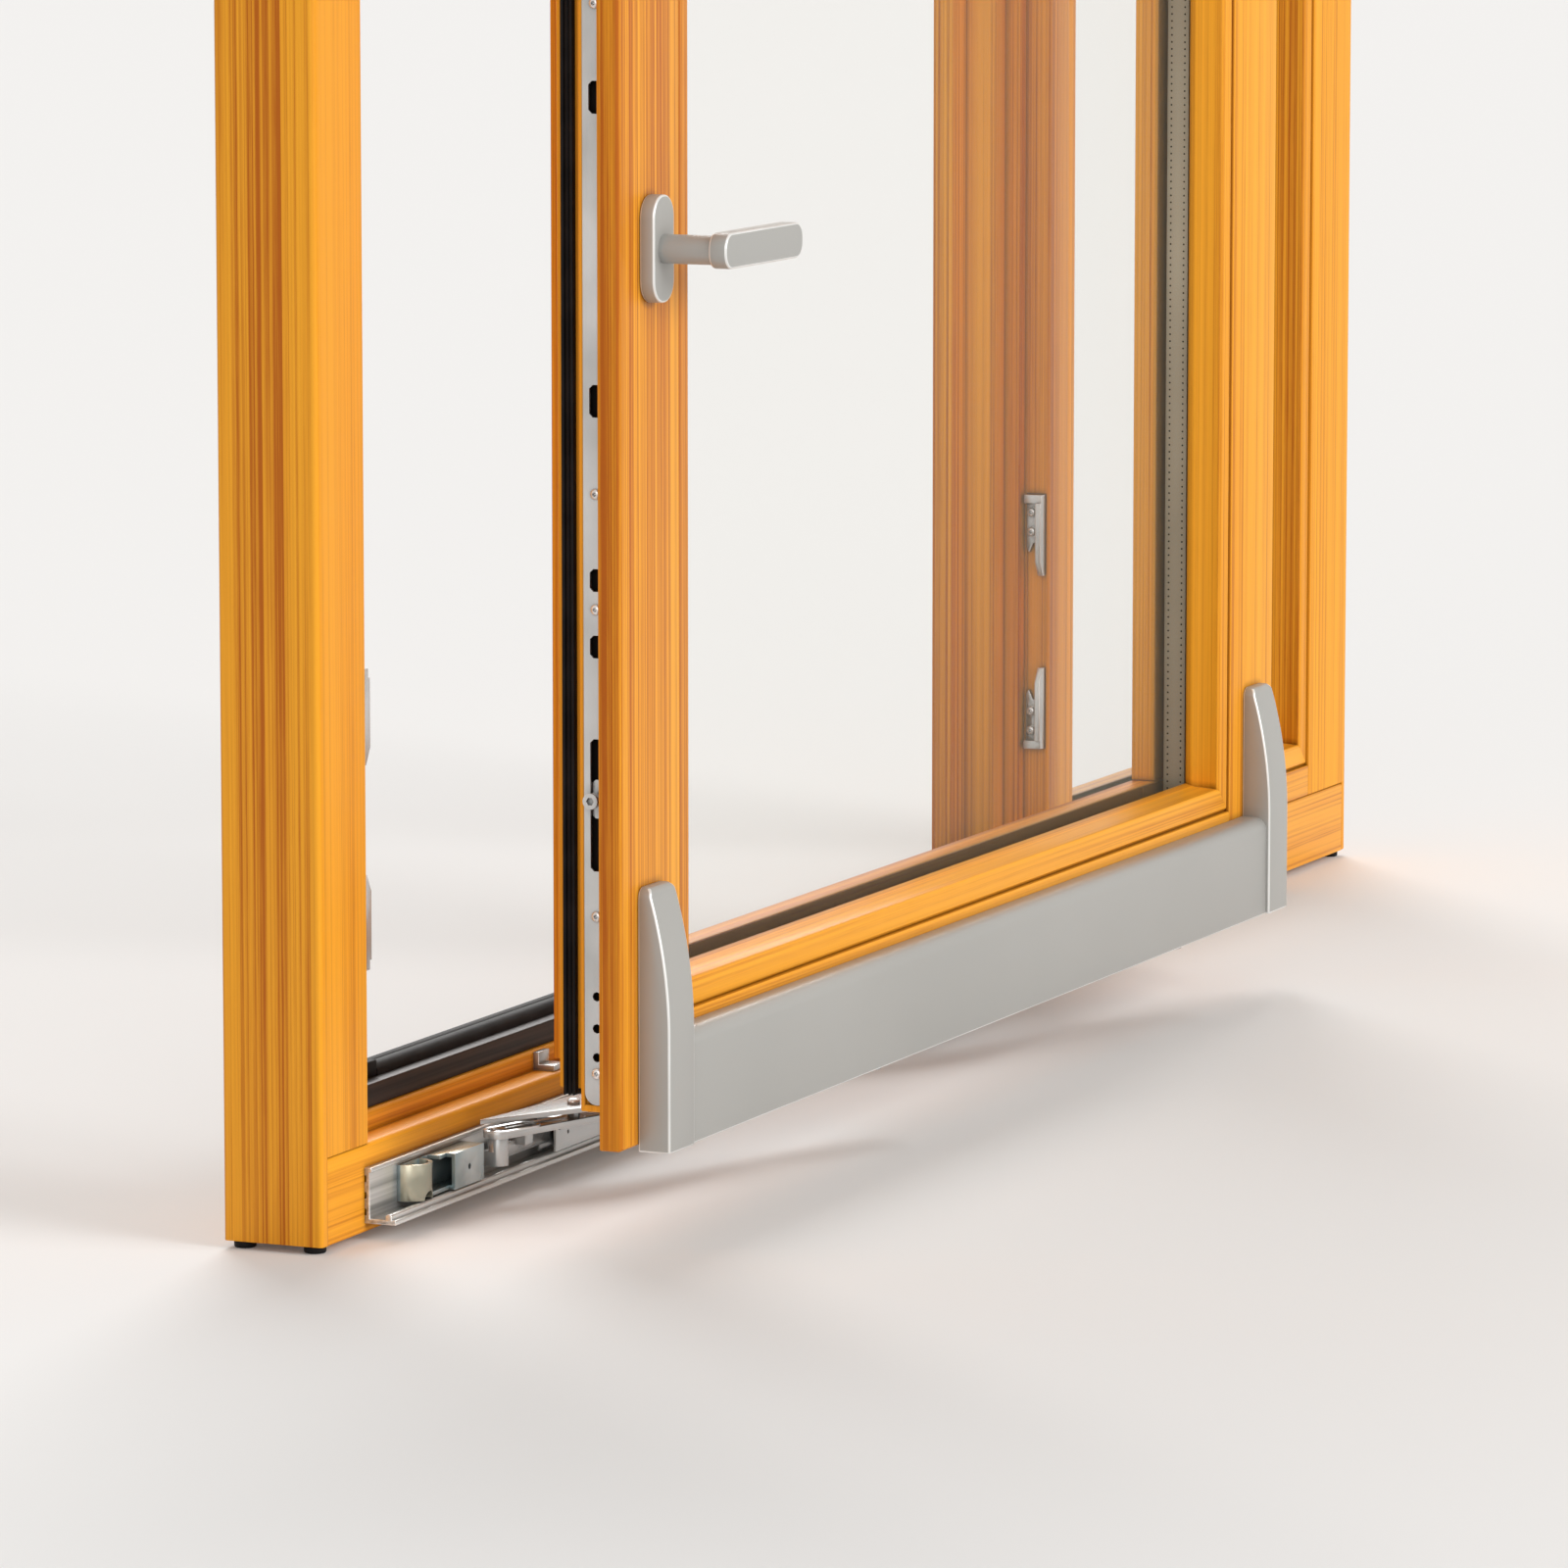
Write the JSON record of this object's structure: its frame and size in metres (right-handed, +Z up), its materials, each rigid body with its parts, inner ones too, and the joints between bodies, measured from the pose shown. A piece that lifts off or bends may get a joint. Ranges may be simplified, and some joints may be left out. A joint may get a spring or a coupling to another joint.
{
  "type": "sliding window",
  "caption": "Pine window with a fixed light and a glazed sash drawn out of its bay on swing arms, sliding on an aluminium track along the frame's foot.",
  "frame": {"origin": "middle of the left post's outer face, where the frame is fixed to its wall", "axes": "+X to the right along the frame, +Y from the room to outdoors, +Z up"},
  "size_m": [1.852, 0.286, 1.205],
  "materials": {
    "pine": "clear satin lacquer on laminated pine",
    "glass": "clear float glass",
    "spacer_aluminium": "mill finish, perforated",
    "silver_aluminium": "silver anodised, satin",
    "zinc_steel": "zinc plated",
    "bronze_aluminium": "dark bronze anodised",
    "rubber": "black, matte"
  },
  "bodies": {
    "frame": {"left_post": "pine", "right_post": "pine", "bottom_rail": "pine", "head_rail": "pine", "mullion": "pine", "fixed_sill_packer": "pine", "fixed_head_packer": "pine", "fixed_bead_left": "pine", "fixed_bead_right": "pine", "fixed_bead_bottom": "pine", "fixed_bead_top": "pine", "fixed_panes": "glass", "fixed_spacer": "spacer_aluminium", "running_track": "silver_aluminium", "head_guide": "silver_aluminium", "control_block": "zinc_steel", "strikers_left_post": "zinc_steel", "strikers_mullion": "zinc_steel", "run_up_block": "zinc_steel", "weather_bar": "bronze_aluminium", "weather_bar_seal": "rubber", "weather_bar_ends": "rubber", "rubber_feet": "rubber", "track_buffer": "rubber"},
    "sash": {"sash_left_stile": "pine", "sash_right_stile": "pine", "sash_bottom_rail": "pine", "sash_top_rail": "pine", "sash_bead_left": "pine", "sash_bead_right": "pine", "sash_bead_bottom": "pine", "sash_bead_top": "pine", "sash_panes": "glass", "sash_spacer": "spacer_aluminium", "sash_gasket": "rubber", "gear_faceplates": "zinc_steel", "gear_cams": "zinc_steel", "cover_profile": "silver_aluminium", "cover_cap_left": "silver_aluminium", "cover_cap_right": "silver_aluminium", "carriages": "zinc_steel", "carriage_wheels": "zinc_steel", "swing_arms": "zinc_steel", "arm_brackets": "zinc_steel", "connecting_rod": "zinc_steel", "head_stays": "zinc_steel", "handle": "silver_aluminium"}
  },
  "joints": [
    {"name": "sash_slide", "type": "slide", "parent": "frame", "child": "sash", "axis": [1, 0, 0], "range_m": [0, 0.55]}
  ]
}
